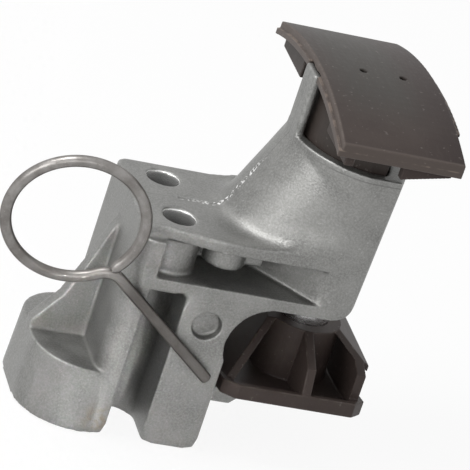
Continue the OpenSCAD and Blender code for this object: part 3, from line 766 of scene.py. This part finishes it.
def chamfer_holes(points):
    """Gives the bolt holes a small chamfer at the plate."""
    from_bolt = np.hypot(points[:, 0] - BOLT_X, np.abs(points[:, 1]) - BOLT_Y)
    rim = (from_bolt < HOLE_R + CHAMFER) & (np.abs(points[:, 2] - PLATE_Z) < CHAMFER)
    points[rim, 2] = np.minimum(points[rim, 2], PLATE_Z - CHAMFER + from_bolt[rim] - HOLE_R)


def raise_parting_line(points, normals):
    """Raises a low broken bead along the middle plane."""
    x, y, z = points.T
    on_line = (np.abs(y) < 1 * MM) & (z > PARTING_Z[0]) & (z < PARTING_Z[1])
    on_line &= (x > PARTING_X[0]) & (x < PARTING_X[1]) & (normals[:, 2] - normals[:, 0] > 0.3)
    for index in np.nonzero(on_line)[0]:
        spot = Vector(points[index])
        middle = 0.5 * noise.noise(spot * BEAD_WANDER_SCALE) * MM
        height = max(0, 0.05 + 0.3 * noise.noise(spot * BEAD_BREAK_SCALE))
        share = max(0, 1 - abs(points[index, 1] - middle) / BEAD_WIDTH)
        points[index] += normals[index] * share * height * MM


# Pieces.
def make_casting():
    casting = copy_of_node("housing", "casting")
    add_pocket_forms(casting)
    add_lean(casting)
    soften(casting, CAST_VOXEL, CAST_ROUNDS)
    points = read_points(casting)
    pairs = read_pairs(casting)
    flatten_back_lip(points)
    for zone, rounds in ((lean_foot, 120), (tower_skin, 160), (pocket_mouth, 150), (worn_corners, 40)):
        blend_zone(points, pairs, zone(points), rounds)
    write_points(casting, points)
    normals = read_normals(casting)
    keep_bore_true(points)
    chamfer_holes(points)
    raise_parting_line(points, normals)
    write_points(casting, points)
    mark_edges(casting, CAST_EDGE_FULL, EDGE_SPREAD)
    thin_out(casting, CAST_TRIANGLES)
    dress(casting, "housing", "base", aluminium)


def make_shoe(node, name, body):
    shoe = copy_of_node(node, name)
    soften(shoe, SHOE_VOXEL, FINE_ROUNDS)
    mark_edges(shoe, SHOE_EDGE_FULL, EDGE_SPREAD)
    thin_out(shoe, SHOE_TRIANGLES)
    dress(shoe, node, body, plastic)


def close_ring(points):
    """Turns the free end of the finger ring a little further round, up to the bend."""
    x = points[:, 0] - RING_X
    z = points[:, 2] - RING_Z
    turn = -np.arctan2(z, x)
    near = np.abs(np.hypot(x, z) - RING_R) < 1.8 * MM
    near &= (turn > 0) & (turn < RING_TURN_END)
    turn = (RING_TURN * rise(turn, 0, RING_TURN_FULL))[near]
    points[near, 0] = RING_X + x[near] * np.cos(turn) + z[near] * np.sin(turn)
    points[near, 2] = RING_Z - x[near] * np.sin(turn) + z[near] * np.cos(turn)


def make_lock_pin():
    pin = copy_of_node("lock_pin", "pull_pin")
    soften(pin, PIN_VOXEL, FINE_ROUNDS)
    points = read_points(pin)
    close_ring(points)
    write_points(pin, points)
    dress(pin, "lock_pin", "base", wire)


def make_piston():
    rod = copy_of_node("piston", "piston_rod")
    finish_with(rod, "BEVEL", width=PISTON_BEVEL, segments=2, limit_method="ANGLE", angle_limit=0.5)
    bpy.ops.object.shade_smooth_by_angle(angle=SMOOTH_ANGLE)
    dress(rod, "piston", "plunger", steel)


def make_coil():
    """The spring in the piston is held at its top, and rides with the base on a mesh of its own."""
    coil = copy_of_node("piston_spring", "coil_spring")
    bpy.ops.object.shade_smooth_by_angle(angle=SMOOTH_ANGLE)
    dress(coil, "piston_spring", "base", spring_steel)
    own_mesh(coil)


make_casting()
make_shoe("upper_shoe", "fixed_shoe", "base")
make_shoe("lower_shoe", "sprung_shoe", "plunger")
make_lock_pin()
make_piston()
make_coil()

# The other inner pieces keep their solids.
for node, material in (
    ("valve_spring", spring_steel),
    ("valve_seat", steel),
    ("valve_cage", steel),
    ("check_ball", steel),
):
    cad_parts[node].data.materials.clear()
    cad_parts[node].data.materials.append(material)


# Stage, lights and camera.
def seen_ray(tree):
    """1 on rays that show the white ground: seen directly, in a reflection or through glass."""
    path = put(tree, "ShaderNodeLightPath")
    seen = maths(tree, "ADD", path.outputs["Is Camera Ray"], path.outputs["Is Glossy Ray"])
    return maths(tree, "ADD", seen, path.outputs["Is Transmission Ray"], clamp=True)


def make_floor():
    """A floor that keeps the part's shadow, and is seen as nearly white."""
    bpy.ops.object.select_all(action="DESELECT")
    bpy.ops.mesh.primitive_plane_add(size=FLOOR_SIZE, location=(0, 0, FLOOR_Z))
    floor = bpy.context.object
    floor.name = "floor"
    material = bpy.data.materials.new("white_floor")
    material.use_nodes = True
    tree = material.node_tree
    tree.nodes.clear()
    paper = put(tree, "ShaderNodeBsdfDiffuse")
    paper.inputs["Color"].default_value = FLOOR_COLOUR
    white = put(tree, "ShaderNodeEmission")
    white.inputs["Strength"].default_value = 1.0
    mix = put(tree, "ShaderNodeMixShader")
    feed(tree, mix.inputs[0], times(tree, seen_ray(tree), FLOOR_WHITE))
    tree.links.new(paper.outputs[0], mix.inputs[1])
    tree.links.new(white.outputs[0], mix.inputs[2])
    tree.links.new(mix.outputs[0], put(tree, "ShaderNodeOutputMaterial").inputs[0])
    floor.data.materials.append(material)


def make_world():
    world = bpy.data.worlds.new("studio")
    bpy.context.scene.world = world
    world.use_nodes = True
    tree = world.node_tree
    tree.nodes.clear()
    sky = put(tree, "ShaderNodeBackground")
    sky.inputs["Color"].default_value = (1, 1, 1, 1)
    feed(tree, sky.inputs["Strength"], slide(tree, seen_ray(tree), SKY_LIGHT, SKY_SEEN))
    tree.links.new(sky.outputs[0], put(tree, "ShaderNodeOutputWorld").inputs[0])


def make_lamp(name, place, aim, size, power, spread=180):
    """A round lamp of a size in metres and a power in watts, whose light spreads by an angle in degrees."""
    data = bpy.data.lights.new(name, "AREA")
    data.shape = "DISK"
    data.size = size
    data.energy = power
    data.spread = np.radians(spread)
    lamp = bpy.data.objects.new(name, data)
    bpy.context.scene.collection.objects.link(lamp)
    lamp.location = place
    lamp.rotation_euler = (Vector(aim) - Vector(place)).to_track_quat("-Z", "Y").to_euler()


def make_camera():
    data = bpy.data.cameras.new("camera")
    data.sensor_width = CAMERA_SENSOR
    data.lens = CAMERA_LENS
    data.clip_start = 0.01
    data.clip_end = 20
    camera = bpy.data.objects.new("camera", data)
    bpy.context.scene.collection.objects.link(camera)
    back = -Vector(CAMERA_LOOK).normalized()
    right = Vector(CAMERA_RIGHT)
    right = (right - back * right.dot(back)).normalized()
    up = back.cross(right)
    turn = Matrix((right, up, back)).transposed().to_4x4()
    camera.matrix_world = Matrix.Translation(CAMERA_PLACE) @ turn
    bpy.context.scene.camera = camera


make_floor()
make_world()
make_lamp("key_light", (-0.36, 0, 0.7), MIDDLE, size=0.3, power=3.5)
make_lamp("left_light", (-0.7, -0.45, 0.3), MIDDLE, size=0.5, power=2.5)
make_lamp("front_light", (-0.2, -0.75, 0.3), MIDDLE, size=0.4, power=0.8)
make_lamp("foot_light", (-0.2, -0.75, 0.1), FOOT_FRONT, size=0.04, power=0.0055, spread=6)
make_camera()
bpy.context.scene.view_settings.view_transform = "Standard"
